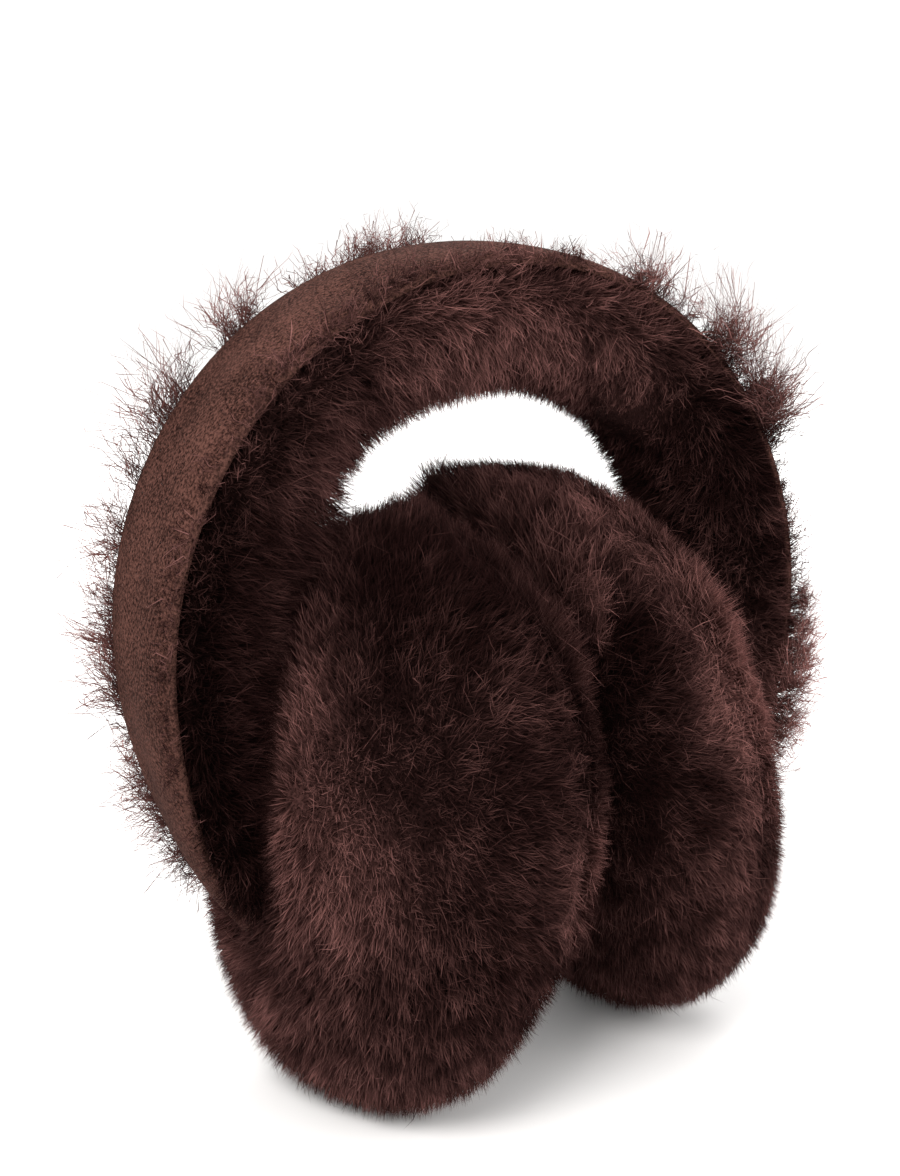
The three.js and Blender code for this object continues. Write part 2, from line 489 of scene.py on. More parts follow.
def plainMesh(worked, name):
    # The object's evaluated mesh as a new plain piece.
    graph = bpy.context.evaluated_depsgraph_get()
    mesh = bpy.data.meshes.new_from_object(worked.evaluated_get(graph))
    mesh.name = name
    piece = bpy.data.objects.new(name, mesh)
    scene.collection.objects.link(piece)
    return piece


mergeDistance = 0.02 * mm


def mergedCopy(nodeNames, name):
    shape = bmesh.new()
    for nodeName in nodeNames:
        shape.from_mesh(frame["nodes"][nodeName].data)
    bmesh.ops.remove_doubles(shape, verts=shape.verts, dist=mergeDistance)
    mesh = bpy.data.meshes.new(name)
    shape.to_mesh(mesh)
    shape.free()
    mesh.materials.clear()
    copy = bpy.data.objects.new(name, mesh)
    scene.collection.objects.link(copy)
    return copy


def arrayOf(items, field):
    found = np.empty(len(items) * 3, np.float32)
    items.foreach_get(field, found)
    return found.reshape(-1, 3).astype(float)


def surfaceTree(target):
    return BVHTree.FromPolygons(
        [vertex.co.copy() for vertex in target.data.vertices],
        [tuple(face.vertices) for face in target.data.polygons],
    )


# A skin lies no deeper than wallShare of the thickness behind it. Near a flush solid it keeps only
# flushShare of its depth, and all of it from flushFar on.
skinFit = {"wallShare": 0.3, "flushShare": 0.12, "flushNear": 1.0 * mm, "flushFar": 9.0 * mm}


def softSkin(name, sources, voxel, inset, smoothing, flushWith=None):
    # One smooth skin a little inside the CAD solids, so that the fur on it ends near their surface.
    # It stays nearly flush where it lies on the solid named in flushWith.
    rough = mergedCopy(sources, name + "Rough")
    remesh = rough.modifiers.new("remesh", "REMESH")
    remesh.mode = "VOXEL"
    remesh.voxel_size = voxel
    smooth = rough.modifiers.new("smooth", "SMOOTH")
    smooth.factor = 0.5
    smooth.iterations = smoothing
    skin = plainMesh(rough, name)
    bpy.data.objects.remove(rough)
    inside = surfaceTree(skin)
    places = arrayOf(skin.data.vertices, "co")
    normals = arrayOf(skin.data.vertices, "normal")
    moves = np.empty(len(places))
    for i, (place, normal) in enumerate(zip(places, normals)):
        hit = inside.ray_cast(Vector(place - normal * 0.1 * mm), Vector(-normal))
        moves[i] = min(inset, skinFit["wallShare"] * hit[3]) if hit[3] is not None else inset
    if flushWith:
        away = np.array([solids[flushWith].find_nearest(Vector(place))[3] for place in places])
        apart = smoothStep(away, skinFit["flushNear"], skinFit["flushFar"])
        moves *= skinFit["flushShare"] + (1 - skinFit["flushShare"]) * apart
    skin.data.vertices.foreach_set("co", (places - normals * moves[:, None]).astype(np.float32).ravel())
    skin.data.update()
    for face in skin.data.polygons:
        face.use_smooth = True
    skin.data.materials.append(woolUnderfur)
    return skin


solids = {name: surfaceTree(node) for name, node in frame["nodes"].items()}
strapTree = surfaceTree(strapSuede)

# The hide and wool that show between the strands: the solid each one follows, how coarsely, and how far
# inside it lies.
skins = {
    "padLeftSkin": {"part": "leftEar", "node": "ear_pad_left", "voxel": 2.6 * mm, "inset": 2.4 * mm},
    "padRightSkin": {"part": "rightEar", "node": "ear_pad_right", "voxel": 2.6 * mm, "inset": 2.4 * mm},
    "cupLeftSkin": {"part": "leftEar", "node": "ear_cup_left", "voxel": 2.2 * mm, "inset": 2.4 * mm},
    "cupRightSkin": {"part": "rightEar", "node": "ear_cup_right", "voxel": 2.2 * mm, "inset": 2.4 * mm},
    "liningSkin": {
        "part": "headband", "node": "band_fur", "voxel": 2.4 * mm, "inset": 2.6 * mm, "flush": "band_suede",
    },
}
skinSmoothing = 8
made = {
    name: softSkin(name, [row["node"]], row["voxel"], row["inset"], skinSmoothing, row.get("flush"))
    for name, row in skins.items()
}

# Where the fur is rooted. A pad and its cup share one root skin, so the fur runs over their seam.
rootSkins = {
    "leftEarRoots": {"nodes": ["ear_pad_left", "ear_cup_left"], "inset": 2.7 * mm, "smoothing": 45},
    "rightEarRoots": {"nodes": ["ear_pad_right", "ear_cup_right"], "inset": 2.7 * mm, "smoothing": 45},
    "headbandRoots": {"nodes": ["band_fur"], "inset": 3.0 * mm, "smoothing": 12, "flush": "band_suede"},
}
rootVoxel = 2.0 * mm
roots = {
    name: softSkin(name, row["nodes"], rootVoxel, row["inset"], row["smoothing"], row.get("flush"))
    for name, row in rootSkins.items()
}


skinCover = 0.4 * mm  # how far a skin may stand out of the roots' skin


def holdDown(skin, root, height):
    # Brings what stands higher than this height over the roots' skin down to it.
    cover = surfaceTree(root)
    for vertex in skin.data.vertices:
        place, normal, _, _ = cover.find_nearest(vertex.co)
        if (vertex.co - place).dot(normal) > height:
            vertex.co = place + normal * height
    skin.data.update()


for name, skin in made.items():
    holdDown(skin, roots[skins[name]["part"] + "Roots"], skinCover)
print("skins done:", {name: len(piece.data.polygons) for name, piece in {**made, **roots}.items()})


# How the fur lies.

lineSteps = 280
centreline = [hoopFrame(angle) for angle in np.linspace(-hoop["endAngle"], hoop["endAngle"], lineSteps)]
linePlaces = np.array([row[0] for row in centreline])
lineOutward = np.array([row[1] for row in centreline])
lineAcross = np.array([row[2] for row in centreline])


def writeField(mesh, name, values):
    if name in mesh.attributes:
        mesh.attributes.remove(mesh.attributes[name])
    vector = np.ndim(values) == 2
    field = mesh.attributes.new(name, "FLOAT_VECTOR" if vector else "FLOAT", "POINT")
    field.data.foreach_set("vector" if vector else "value", np.asarray(values, np.float32).ravel())


# How the room round a root is judged: beside a solid it is at most this many times the distance to it,
# and a strand that falls less than this share of its length never meets the floor.
roomRules = {"besideSolid": 2.2, "leastFall": 0.05}


def clearRoom(places, directions, others, reach):
    # How far the fur can grow from each point before it meets the strap, a neighbour or the floor.
    rooms = np.full(len(places), reach)
    for i, (place, direction) in enumerate(zip(places, directions)):
        start = Vector(place)
        heading = Vector(direction)
        for other in [strapTree, *(solids[other] for other in others)]:
            hit = other.ray_cast(start, heading, reach)
            if hit[3] is not None:
                rooms[i] = min(rooms[i], hit[3])
            if other is not strapTree:
                near = other.find_nearest(start, reach)
                if near[3] is not None:
                    rooms[i] = min(rooms[i], near[3] * roomRules["besideSolid"])
    falling = directions[:, 2] < -roomRules["leastFall"]
    fall = np.maximum(-directions[:, 2], roomRules["leastFall"])
    toFloor = np.where(falling, places[:, 2] / fall, reach)
    return np.minimum(rooms, toFloor)


def unit(vectors):
    return vectors / np.maximum(np.linalg.norm(vectors, axis=1, keepdims=True), 1e-9)


# The right pad's fur is parted along these places, in mm.
partingLine = [(7.6, -32, 118), (6.4, -34.5, 113), (5.2, -37, 108)]

# How light the pile is made, place by place: a place and a span in mm. Partly this is the nap brushed one
# way or the other and the parting's lighter underside, and partly painted light: painted highlights along
# the pads' rims and painted shade in the creases between the lining and the pads. A value under 0 or over 1
# outweighs the patches around it.
napAndPaintedLightPatches = {
    "leftEar": [
        {"place": (-57, -31, 60), "span": 15, "light": 0.90},
        {"place": (-52, -14, 110), "span": 9, "light": 0.66},
        {"place": (-58, -13, 92), "span": 10, "light": 0.95},
        {"place": (-61, -13, 72), "span": 10, "light": 0.98},
        {"place": (-39, -48, 103), "span": 18, "light": 0.27},
        {"place": (-33, -32, 123), "span": 15, "light": -0.15},
        {"place": (-23, -65, 84), "span": 14, "light": 0.20},
        {"place": (-12, -63, 66), "span": 9, "light": 1.05},
        {"place": (-8, -56, 93), "span": 8, "light": 0.05},
        {"place": (-30, -50, 12), "span": 12, "light": 0.60},
        {"place": (-10, -56, 95), "span": 9, "light": 0.50},
        {"place": (-44, -56, 48), "span": 14, "light": 0.24},
        {"place": (-64, 1, 27), "span": 18, "light": 0.56},
        {"place": (-50, -36, 14), "span": 18, "light": 0.56},
    ],
    "rightEar": [
        {"place": (28, -42, 113), "span": 10, "light": 1.3},
        {"place": (36, -50, 94), "span": 13, "light": 2.0},
        {"place": (40, -54, 76), "span": 9, "light": 1.0},
        {"place": (33, -59, 58), "span": 14, "light": 0.54},
        {"place": (12, -52, 82), "span": 15, "light": 0.08},
        {"place": (22, -39, 25), "span": 18, "light": 0.50},
        {"place": (20, -27, 131), "span": 12, "light": 0.68},
        {"place": (3, -3, 133), "span": 12, "light": 0.46},
        {"place": (3, -24, 116), "span": 9, "light": 0.68},
        {"place": (19, -44, 107), "span": 11, "light": -0.30},
        *({"place": place, "span": 2.1, "light": 12.0} for place in partingLine),
        {"place": (46, -48, 58), "span": 11, "light": 0.80},
        {"place": (42, -46, 38), "span": 10, "light": 0.62},
    ],
    "headband": [
        {"place": (-6, -9, 174), "span": 22, "light": 0.85},
        {"place": (38, -9, 166), "span": 20, "light": 0.74},
        {"place": (-44, -9, 157), "span": 20, "light": 0.42},
        {"place": (-67, -10, 121), "span": 22, "light": 0.10},
        {"place": (-62, -5, 97), "span": 16, "light": 0.0},
        {"place": (-68, -10, 76), "span": 20, "light": 0.0},
        {"place": (56, -9, 140), "span": 22, "light": 0.05},
        {"place": (66, 0, 100), "span": 20, "light": 0.30},
        {"place": (75, -11, 78), "span": 13, "light": 1.1},
    ],
}
plainLight = {"weight": 0.25, "light": 0.36}

# Where the pile is longer or shorter than elsewhere: a place and a span in mm.
pileLengths = [
    {"place": (-46, 0, 133), "span": 13, "factor": 2.1},
    {"place": (-63, -5, 24), "span": 15, "factor": 1.5},
    {"place": (-45, 0, 132), "span": 8, "factor": 1.4},
    {"place": (42, -2, 147), "span": 13, "factor": 0.3},
    {"place": (20, -3, 158), "span": 15, "factor": 0.6},
    {"place": (5, 0, 138), "span": 18, "factor": 1.25},
    {"place": (-12, -40, 117), "span": 12, "factor": 1.7},
    {"place": (2, -40, 106), "span": 12, "factor": 2.0},
    {"place": (-2, -22, 122), "span": 12, "factor": 2.0},
    {"place": (34, -40, 112), "span": 13, "factor": 1.8},
    *({"place": place, "span": 2.6, "factor": 0.5} for place in partingLine),
    {"place": (-23, -6, 135), "span": 8, "factor": 1.7},
    {"place": (-1, 25, 131), "span": 10, "factor": 2.3},
    {"place": (-14, 5, 131), "span": 8, "factor": 2.0},
    {"place": (37, 3, 147), "span": 9, "factor": 0.3},
]


# Blends the patches into one lightness: the nap's own tone together with its painted highlights and painted
# shade.
def pileLight(places, part):
    weights = np.full(len(places), plainLight["weight"])
    lights = weights * plainLight["light"]
    for patch in napAndPaintedLightPatches[part]:
        away = np.linalg.norm(places / mm - np.array(patch["place"]), axis=1)
        weight = np.exp(-(away / patch["span"]) ** 2)
        weights += weight
        lights += weight * patch["light"]
    return lights / weights


# Fur stops growing where it has less room than this, and a cramped pile keeps this share of its length.
crampedRoom = 0.8 * mm
crampedShare = 0.2


def writeLie(root, part, directions, combing, reach, others):
    places = arrayOf(root.data.vertices, "co")
    rooms = clearRoom(places, directions, others, reach)
    pile = smoothStep(rooms, crampedRoom, reach * 0.8) * (1 - crampedShare) + crampedShare
    for patch in pileLengths:
        away = np.linalg.norm(places / mm - np.array(patch["place"]), axis=1)
        pile *= 1 + (patch["factor"] - 1) * np.exp(-(away / patch["span"]) ** 2)
    writeField(root.data, "grow", directions)
    writeField(root.data, "comb", combing)
    writeField(root.data, "shade", pileLight(places, part))
    writeField(root.data, "pile", pile)
    return smoothStep(rooms, crampedRoom, reach * 0.45)


strandReach = 4.2 * mm


def nearerTo(root, first, second):
    # 1 where the fur's ends come nearest to the first solid and 0 where they come nearest to the second.
    ends = [vertex.co + vertex.normal * strandReach for vertex in root.data.vertices]
    return np.array([
        float(solids[first].find_nearest(end)[3] <= solids[second].find_nearest(end)[3]) for end in ends
    ])


earLie = {"outSpan": 12 * mm, "falling": 0.4, "lean": 0.45, "reach": 5.5 * mm}


def lieOfEar(root, part, others):
    # The pile stands out from the pad and is combed away from the pad's middle and a little down.
    places = arrayOf(root.data.vertices, "co")
    normals = arrayOf(root.data.vertices, "normal")
    offset = places - places.mean(0)
    sideways = offset - normals * (offset * normals).sum(1)[:, None]
    combing = unit(sideways / earLie["outSpan"] - np.array([0, 0, earLie["falling"]]))
    directions = unit(normals + combing * earLie["lean"])
    return writeLie(root, part, directions, combing, earLie["reach"], others)


liningLie = {
    "frontRise": 1.5,
    "backRise": 0.5,
    "turnDepth": 6 * mm,
    "fanShare": 0.6,
    "outShare": 0.7,
    "reach": 6.5 * mm,
}
chunk = 4000  # how many points are measured at once, to save memory


def lieOfLining(root, others):
    # The pile fans out under the strap: sideways and up at its edges, most at the front, and inwards below.
    places = arrayOf(root.data.vertices, "co")
    normals = arrayOf(root.data.vertices, "normal")
    nearest = np.empty(len(places), int)
    for first in range(0, len(places), chunk):
        part = places[first:first + chunk]
        nearest[first:first + chunk] = ((part[:, None] - linePlaces[None]) ** 2).sum(2).argmin(1)
    offset = places - linePlaces[nearest]
    outward = lineOutward[nearest]
    across = lineAcross[nearest]
    side = (offset * across).sum(1)[:, None] / (strap["width"] / 2)
    level = (offset * outward).sum(1)[:, None]
    rising = np.where(side < 0, liningLie["frontRise"], liningLie["backRise"])
    fan = unit(across * side + outward * (rising + level / liningLie["turnDepth"]))
    directions = unit(fan * liningLie["fanShare"] + normals * liningLie["outShare"])
    return writeLie(root, "headband", directions, fan, liningLie["reach"], others)


# The skins take the pile's lightness too, painted highlights and painted shade included.
for name, skin in made.items():
    woolLight = pileLight(arrayOf(skin.data.vertices, "co"), skins[name]["part"])
    writeField(skin.data, "woolLight", woolLight)
covers = {
    "leftEarRoots": lieOfEar(roots["leftEarRoots"], "leftEar", ("ear_pad_right", "band_fur")),
    "rightEarRoots": lieOfEar(roots["rightEarRoots"], "rightEar", ("ear_pad_left", "band_fur")),
    "headbandRoots": lieOfLining(
        roots["headbandRoots"], ("ear_pad_left", "ear_pad_right", "ear_cup_left", "ear_cup_right"),
    ),
}
print("fur directions done")


# Loose tufts past the strap's edges, 1 the back edge and -1 the front one: the place and half-length in
# degrees along the hoop, how long they are in tenths of the length in looseTuftFur, how thickly they
# grow, how far they lean towards the crown and how light they are. Their lightness is partly painted light:
# thin hairs made lighter where they would glow against the light.
looseTufts = [
    {"edge": 1, "angle": -19, "span": 5, "length": 5, "growth": 0.6, "lean": 0.6, "light": 0.95},
    {"edge": 1, "angle": -11, "span": 4, "length": 6.5, "growth": 1.0, "lean": 0.5, "light": 0.9},
    {"edge": 1, "angle": -3, "span": 3, "length": 6, "growth": 0.9, "lean": 0.3, "light": 0.8},
    {"edge": 1, "angle": 15, "span": 3, "length": 3, "growth": 0.2, "lean": -0.4, "light": 0.8},
    {"edge": 1, "angle": -36, "span": 4, "length": 10, "growth": 0.9, "lean": 0.4, "light": 0.95},
    {"edge": 1, "angle": -53, "span": 5, "length": 11, "growth": 1.0, "lean": 0.6, "light": 0.95},
    {"edge": 1, "angle": -63, "span": 3.5, "length": 10, "growth": 0.5, "lean": 0.7, "light": 1.0},
    {"edge": 1, "angle": -73, "span": 3.5, "length": 9, "growth": 0.8, "lean": 0.5, "light": 0.95},
    {"edge": 1, "angle": -83, "span": 4, "length": 8, "growth": 0.8, "lean": 0.6, "light": 0.95},
    {"edge": 1, "angle": -94, "span": 7, "length": 9, "growth": 1.1, "lean": 0.2, "light": 0.9},
    {"edge": 1, "angle": -105, "span": 5, "length": 5, "growth": 0.4, "lean": 0.2, "light": 0.9},
    {"edge": 1, "angle": -116, "span": 6, "length": 9, "growth": 1.0, "lean": -0.1, "light": 0.9},
    {"edge": 1, "angle": -127, "span": 6, "length": 7, "growth": 1.0, "lean": -0.3, "light": 0.7},
    {"edge": 1, "angle": -133, "span": 4, "length": 8, "growth": 1.0, "lean": -0.3, "light": 0.6},
    {"edge": 1, "angle": 38, "span": 12, "length": 5, "growth": 0.5, "lean": 0.3, "light": 0.7},
    {"edge": 1, "angle": 72, "span": 14, "length": 9, "growth": 0.7, "lean": 0.4, "light": 0.7},
    {"edge": 1, "angle": 108, "span": 10, "length": 9, "growth": 0.9, "lean": 0.2, "light": 0.7},
    {"edge": -1, "angle": 27, "span": 5, "length": 8, "growth": 1.0, "lean": 0.3, "light": 0.8},
    {"edge": -1, "angle": 35, "span": 3, "length": 7, "growth": 0.6, "lean": 0.0, "light": 0.8},
    {"edge": -1, "angle": 46, "span": 4, "length": 13, "growth": 1.8, "lean": 0.0, "light": 0.75},
    {"edge": -1, "angle": 60, "span": 6, "length": 14, "growth": 2.0, "lean": 0.9, "light": 0.75},
    {"edge": -1, "angle": 84, "span": 7, "length": 7, "growth": 0.4, "lean": 0.4, "light": 0.9},
    {"edge": -1, "angle": 106, "span": 13, "length": 9, "growth": 2.2, "lean": 0.0, "light": 1.0},
    {"edge": -1, "angle": -85, "span": 30, "length": 3, "growth": 0.4, "lean": 0.2, "light": 0.4},
    {"edge": -1, "angle": -30, "span": 22, "length": 5, "growth": 0.6, "lean": 0.2, "light": 0.5},
    {"edge": -1, "angle": 4, "span": 14, "length": 3.5, "growth": 1.0, "lean": 0.1, "light": 0.6},
    {"edge": -1, "angle": 75, "span": 30, "length": 3.5, "growth": 0.5, "lean": 0.2, "light": 0.2},
]
tuftStrip = {
    "firstAngle": -136,
    "lastAngle": 136,
    "steps": 272,
    "across": 5,
    "width": 4.5 * mm,
    "fromEdge": 0.4 * mm,
    "underSuede": 0.6 * mm,
    "rise": 0.45,
    "leanShare": 0.6,
}


def makeTuftStrips():
    # A narrow strip under each edge of the strap, which the loose tufts grow from.
    vertices = []
    faces = []
    fields = {"grow": [], "comb": [], "pile": [], "cover": [], "shade": []}
    for edge in (-1, 1):
        first = len(vertices)
        for i in range(tuftStrip["steps"] + 1):
            share = i / tuftStrip["steps"]
            angle = tuftStrip["firstAngle"] * (1 - share) + tuftStrip["lastAngle"] * share
            place, outward, across = hoopFrame(angle)
            towardsCrown = across.cross(outward) * (-1 if angle > 0 else 1)
            cover = 0.0
            length = 0.0
            lean = 0.0
            light = 0.0
            for tuft in looseTufts:
                if tuft["edge"] == edge:
                    weight = tuft["growth"] * math.exp(-((angle - tuft["angle"]) / tuft["span"]) ** 4)
                    cover += weight
                    length += weight * tuft["length"]
                    lean += weight * tuft["lean"]
                    light += weight * tuft["light"]
            total = max(cover, 1e-6)
            for k in range(tuftStrip["across"]):
                inward = tuftStrip["fromEdge"] + tuftStrip["width"] * k / (tuftStrip["across"] - 1)
                side = edge * (strap["width"] / 2 - inward)
                level = strap["crown"] * (1 - (1 - inward / (strap["width"] / 2)) ** 2) - strap["thickness"]
                vertices.append(place + across * side + outward * (level - tuftStrip["underSuede"]))
                leaning = towardsCrown * (lean / total) * tuftStrip["leanShare"]
                grow = across * edge + outward * tuftStrip["rise"] + leaning
                fields["grow"].append(tuple(grow.normalized()))
                fields["comb"].append(tuple((outward * 0.6 + towardsCrown * 0.7).normalized()))
                fields["pile"].append(length / total / 10)
                fields["cover"].append(cover)
                fields["shade"].append(light / total)
        for i in range(tuftStrip["steps"]):
            for k in range(tuftStrip["across"] - 1):
                corner = first + i * tuftStrip["across"] + k
                faces.append((corner, corner + 1, corner + tuftStrip["across"] + 1,
                              corner + tuftStrip["across"]))
    mesh = bpy.data.meshes.new("tuftStrips")
    mesh.from_pydata(vertices, [], faces)
    for name, values in fields.items():
        writeField(mesh, name, np.array(values))
    return bpy.data.objects.new("tuftStrips", mesh)


tuftStrips = makeTuftStrips()
print("tuft strips done")


# The strands.

def strandShape(name, knots):
    # A thin ribbon about one unit tall. A knot is its height, its lean and its width, 0 at the tip.
    mesh = bpy.data.meshes.new(name)
    vertices = []
    along = []
    faces = []
    for height, lean, width in knots:
        share = len(along) / (2 * len(knots) - 2)
        if width:
            vertices += [(-width / 2, lean, height), (width / 2, lean, height)]
            along += [share, share]
        else:
            vertices.append((0, lean, height))
            along.append(1.0)
    for i in range(0, len(vertices) - 3, 2):
        faces.append((i, i + 1, i + 3, i + 2))
    faces.append((len(vertices) - 3, len(vertices) - 2, len(vertices) - 1))
    mesh.from_pydata(vertices, [], faces)
    for face in mesh.polygons:
        face.use_smooth = True
    writeField(mesh, "along", along)
    return bpy.data.objects.new(name, mesh)


strandForm = {"taperStart": 0.3, "taperShare": 0.65, "dropWithBend": 0.3}


def waved(bend, wave, turns, count, phase=0.0):
    # A strand that bends over, waves and narrows towards its tip.
    knots = []
    for i in range(count + 1):
        height = i / count
        swing = wave * height * math.sin(2 * math.pi * (turns * height + phase))
        tapered = max(height - strandForm["taperStart"], 0) / (1 - strandForm["taperStart"])
        width = 1 - strandForm["taperShare"] * tapered if i < count else 0
        top = height * (1 - strandForm["dropWithBend"] * abs(bend) * height)
        knots.append((top, bend * height ** 2 + swing, width))
    return knots


def shapeSet(name, rows):
    group = bpy.data.collections.new(name)
    for i, row in enumerate(rows):
        group.objects.link(strandShape(f"{name}{i}", waved(**row)))
    return group


plushShapes = shapeSet("plushStrand", [
    {"bend": 0.10, "wave": 0.0, "turns": 0, "count": 1},
    {"bend": 0.25, "wave": 0.0, "turns": 0, "count": 1},
    {"bend": 0.55, "wave": 0.0, "turns": 0, "count": 2},
])
curlShapes = shapeSet("curlStrand", [
    {"bend": 0.75, "wave": 0.20, "turns": 1.9, "count": 7},
    {"bend": 1.10, "wave": 0.17, "turns": 2.2, "count": 7, "phase": 0.3},
    {"bend": 0.45, "wave": 0.24, "turns": 1.6, "count": 7, "phase": 0.6},
])
strayShapes = shapeSet("strayStrand", [
    {"bend": 0.60, "wave": 0.16, "turns": 1.2, "count": 4},
    {"bend": 0.95, "wave": 0.12, "turns": 1.0, "count": 4, "phase": 0.3},
])


furInputs = {
    "NodeSocketGeometry": ["Roots"],
    "NodeSocketCollection": ["Shapes"],
    "NodeSocketMaterial": ["Fur"],
    "NodeSocketFloat": [
        "Strands per square metre", "Length", "Length spread", "Width", "Unruliness",
        "Swirl", "Swirl size", "Fine swirl", "Lock size", "Lock pull",
        "Twist", "Crimp", "Crimp size", "Light patches", "Lighter",
    ],
    "NodeSocketInt": ["Seed"],
}

# What all the strands share, and what is added to a piece's seed for each thing that varies.
strandRules = {
    "fineSwirlShare": 0.3,
    "lockWander": 1.5 * mm,
    "combSwirl": 1.6,
    "combFineSwirl": 1.2,
    "patchSize": 7 * mm,
    "lockContrast": 0.22,
    "strandContrast": 0.2,
    "widthSpread": 0.3,
    "overFloor": 0.3 * mm,
}
seedOffsets = {"length": 11, "direction": 23, "twist": 37, "light": 53, "width": 61, "shape": 71}


def buildFurTree():
    tree = bpy.data.node_groups.new("furStrands", "GeometryNodeTree")
    for kind, names in furInputs.items():
        for name in names:
            tree.interface.new_socket(name, in_out="INPUT", socket_type=kind)
    tree.interface.new_socket("Strands", in_out="OUTPUT", socket_type="NodeSocketGeometry")
    given = addNode(tree, "NodeGroupInput", {}, {})

    def field(name, kind="FLOAT"):
        return addNode(tree, "GeometryNodeInputNamedAttribute", {"data_type": kind}, {"Name": name})

    def chance(low, high, purpose, kind="FLOAT"):
        seed = given.output("Seed") + float(seedOffsets[purpose])
        sockets = {0: low, 1: high} if kind == "FLOAT_VECTOR" else {2: low, 3: high}
        return addNode(tree, "FunctionNodeRandomValue", {"data_type": kind}, {**sockets, "Seed": seed})

    def swirling(where, detail):
        # Noise that pushes either way along each axis. Its colour output is read as a vector.
        push = addNode(tree, "ShaderNodeTexNoise", {}, {
            "Vector": where, "Scale": 1.0, "Detail": detail,
        }, "Color")
        push.holdsVector = True
        return push - 0.5

    points = addNode(tree, "GeometryNodeDistributePointsOnFaces", {"distribute_method": "RANDOM"}, {
        "Mesh": given.output("Roots"),
        "Density": field("cover") * given.output("Strands per square metre"),
        "Seed": given.output("Seed"),
    })
    place = addNode(tree, "GeometryNodeInputPosition", {}, {})
    grow = field("grow", "FLOAT_VECTOR")
    swirl = swirling(place / given.output("Swirl size"), 1.0)
    fineSwirl = swirling(place / (given.output("Swirl size") * strandRules["fineSwirlShare"]), 1.0)
    lock = addNode(tree, "ShaderNodeTexVoronoi", {}, {
        "Vector": place + fineSwirl * strandRules["lockWander"],
        "Scale": 1.0 / given.output("Lock size"),
    }, "Position")
    length = (
        given.output("Length") * field("pile")
        * (1 + given.output("Length spread") * chance(-1.0, 1.0, "length"))
    )
    pull = lock - place
    pullAlong = addNode(tree, "ShaderNodeVectorMath", {"operation": "DOT_PRODUCT"}, {
        0: pull, 1: grow,
    }, "Value")
    acrossGrow = pull - grow * pullAlong
    direction = (
        grow
        + swirl * given.output("Swirl")
        + fineSwirl * given.output("Fine swirl")
        + chance((-1, -1, -1), (1, 1, 1), "direction", "FLOAT_VECTOR") * given.output("Unruliness")
        + acrossGrow * (given.output("Lock pull") / length)
    )
    turned = addNode(tree, "FunctionNodeAxesToRotation", {"primary_axis": "Z", "secondary_axis": "Y"}, {
        0: direction,
        1: (
            field("comb", "FLOAT_VECTOR")
            + swirl * strandRules["combSwirl"]
            + fineSwirl * strandRules["combFineSwirl"]
        ),
    })
    twist = addNode(tree, "FunctionNodeAxisAngleToRotation", {}, {
        "Axis": (0, 0, 1),
        "Angle": chance(-1.0, 1.0, "twist") * given.output("Twist"),
    })
    turned = addNode(tree, "FunctionNodeRotateRotation", {"rotation_space": "LOCAL"}, {
        "Rotation": turned, "Rotate By": twist,
    })
    patches = addNode(tree, "ShaderNodeTexNoise", {}, {
        "Vector": place / strandRules["patchSize"], "Scale": 1.0, "Detail": 3.0,
    })
    lockLight = addNode(tree, "ShaderNodeTexWhiteNoise", {}, {"Vector": lock * 1000.0}, "Value")
    lightness = (
        field("shade") + given.output("Lighter")
        + (patches - 0.5) * given.output("Light patches") * 2.0
        + (lockLight - 0.5) * strandRules["lockContrast"]
        + chance(-strandRules["strandContrast"], strandRules["strandContrast"], "light")
    ).limited(0.01, 0.97)
    points = addNode(tree, "GeometryNodeStoreNamedAttribute", {"data_type": "FLOAT", "domain": "POINT"}, {
        "Geometry": points, "Name": "lightness", "Value": lightness,
    })
    shapes = addNode(tree, "GeometryNodeCollectionInfo", {}, {
        "Collection": given.output("Shapes"), "Separate Children": True, "Reset Children": True,
    })
    widthSpread = strandRules["widthSpread"]
    width = given.output("Width") * chance(1 - widthSpread, 1 + widthSpread, "width")
    # The index wraps round, so a high limit picks each of the few shapes about equally often.
    pick = addNode(tree, "FunctionNodeRandomValue", {"data_type": "INT"}, {
        "Min": 0, "Max": 23, "Seed": given.output("Seed") + float(seedOffsets["shape"]),
    }, "Value")
    strands = addNode(tree, "GeometryNodeInstanceOnPoints", {}, {
        "Points": points,
        "Instance": shapes,
        "Pick Instance": True,
        "Instance Index": pick,
        "Rotation": turned,
        "Scale": addNode(tree, "ShaderNodeCombineXYZ", {}, {0: width, 1: length, 2: length}),
    })
    strands = addNode(tree, "GeometryNodeRealizeInstances", {}, {"Geometry": strands})
    here = addNode(tree, "GeometryNodeInputPosition", {}, {})
    crimping = swirling(here / given.output("Crimp size"), 0.0)
    crimped = here + crimping * (given.output("Crimp") * field("along"))
    aboveFloor = addNode(tree, "ShaderNodeVectorMath", {"operation": "MAXIMUM"}, {
        0: crimped, 1: (-9.0, -9.0, strandRules["overFloor"]),
    })
    strands = addNode(tree, "GeometryNodeSetPosition", {}, {"Geometry": strands, "Position": aboveFloor})
    spot = addNode(tree, "ShaderNodeCombineXYZ", {}, {
        0: field("along") * 0.98 + 0.01, 1: field("lightness"),
    })
    mapSettings = {"data_type": "FLOAT2", "domain": "CORNER"}
    strands = addNode(tree, "GeometryNodeStoreNamedAttribute", mapSettings, {
        "Geometry": strands, "Name": "OFBake", "Value": spot,
    })
    strands = addNode(tree, "GeometryNodeSetMaterial", {}, {
        "Geometry": strands, "Material": given.output("Fur"),
    })
    addNode(tree, "NodeGroupOutput", {}, {0: strands})
    return tree


workingFields = ("grow", "comb", "pile", "cover", "shade", "along", "lightness", "id")


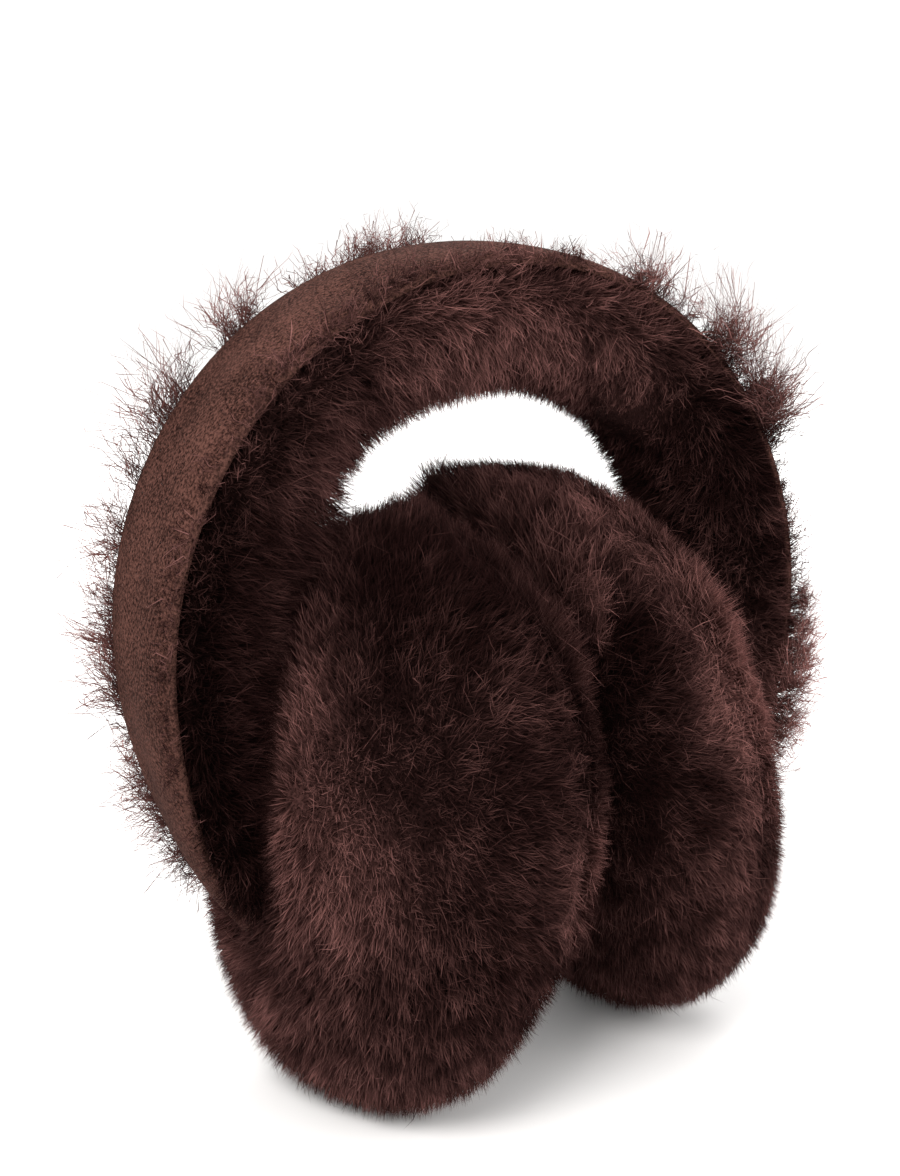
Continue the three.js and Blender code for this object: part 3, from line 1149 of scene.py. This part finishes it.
def growFur(root, name, look):
    worked = bpy.data.objects.new(name + "Worked", root.data)
    scene.collection.objects.link(worked)
    modifier = worked.modifiers.new("fur", "NODES")
    modifier.node_group = furTree
    values = {"Fur": sheepFur, **look}
    for item in furTree.interface.items_tree:
        if item.in_out == "INPUT" and item.name in values:
            modifier[item.identifier] = values[item.name]
    fur = plainMesh(worked, name)
    bpy.data.objects.remove(worked)
    for extra in workingFields:
        if extra in fur.data.attributes:
            fur.data.attributes.remove(fur.data.attributes[extra])
    triangles = sum(len(face.vertices) - 2 for face in fur.data.polygons)
    print(name, "has", triangles, "triangles")
    return fur


furTree = buildFurTree()

plushFur = {
    "Shapes": plushShapes,
    "Strands per square metre": 3.9e6,
    "Length": 4.9 * mm,
    "Length spread": 0.25,
    "Width": 0.23 * mm,
    "Unruliness": 0.12,
    "Swirl": 0.7,
    "Swirl size": 12 * mm,
    "Fine swirl": 0.7,
    "Lock size": 1.8 * mm,
    "Lock pull": 0.35,
    "Twist": 1.2,
    "Crimp": 2.2 * mm,
    "Crimp size": 2.2 * mm,
    "Light patches": 0.7,
}
liningPile = {
    **plushFur,
    "Strands per square metre": 4.3e6,
    "Width": 0.24 * mm,
    "Length": 6.0 * mm,
    "Length spread": 0.3,
    "Swirl": 0.9,
    "Fine swirl": 0.8,
    "Unruliness": 0.17,
    "Twist": 1.5,
}
strayCurls = {
    **plushFur,
    "Shapes": strayShapes,
    "Strands per square metre": 1.3e5,
    "Length": 5.8 * mm,
    "Width": 0.12 * mm,
    "Unruliness": 0.3,
    "Twist": 2.0,
    "Lighter": 0.1,
}
looseTuftFur = {
    **plushFur,
    "Shapes": curlShapes,
    "Strands per square metre": 5.0e6,
    "Length": 12 * mm,
    "Length spread": 0.35,
    "Width": 0.13 * mm,
    "Unruliness": 0.15,
    "Swirl": 1.7,
    "Swirl size": 10 * mm,
    "Fine swirl": 0.5,
    "Lock size": 5 * mm,
    "Lock pull": 0.8,
    "Twist": 1.4,
    "Crimp": 8 * mm,
    "Crimp size": 2.6 * mm,
}

# Each fur piece: the skin it is rooted in, the share of that skin it covers and its look.
onLeftPad = nearerTo(roots["leftEarRoots"], "ear_pad_left", "ear_cup_left")
onRightPad = nearerTo(roots["rightEarRoots"], "ear_pad_right", "ear_cup_right")
onLeftHalf = (arrayOf(roots["headbandRoots"].data.vertices, "co")[:, 0] < 0).astype(float)
furRows = {
    "padLeftFur": ("leftEarRoots", onLeftPad, plushFur, 3),
    "cupLeftFur": ("leftEarRoots", 1 - onLeftPad, plushFur, 7),
    "padRightFur": ("rightEarRoots", onRightPad, plushFur, 5),
    "cupRightFur": ("rightEarRoots", 1 - onRightPad, plushFur, 9),
    "liningLeftFur": ("headbandRoots", onLeftHalf, liningPile, 13),
    "liningRightFur": ("headbandRoots", 1 - onLeftHalf, liningPile, 15),
    "leftStrays": ("leftEarRoots", 1, strayCurls, 17),
    "rightStrays": ("rightEarRoots", 1, strayCurls, 19),
    "liningStrays": ("headbandRoots", 1, strayCurls, 23),
}
furs = {}
for name, (root, share, look, seed) in furRows.items():
    writeField(roots[root].data, "cover", covers[root] * share)
    furs[name] = growFur(roots[root], name, {**look, "Seed": seed})
furs["looseTufts"] = growFur(tuftStrips, "looseTufts", {**looseTuftFur, "Seed": 29})
for worked in [*roots.values(), tuftStrips, *plushShapes.objects, *curlShapes.objects,
               *strayShapes.objects]:
    bpy.data.objects.remove(worked)
print("fur done")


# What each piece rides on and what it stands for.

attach(strapSuede, "root")
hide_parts("band_suede")
for name, skin in made.items():
    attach(skin, "root")
    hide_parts(skins[name]["node"])
    name != "liningSkin"
for fur in furs.values():
    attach(fur, "root")
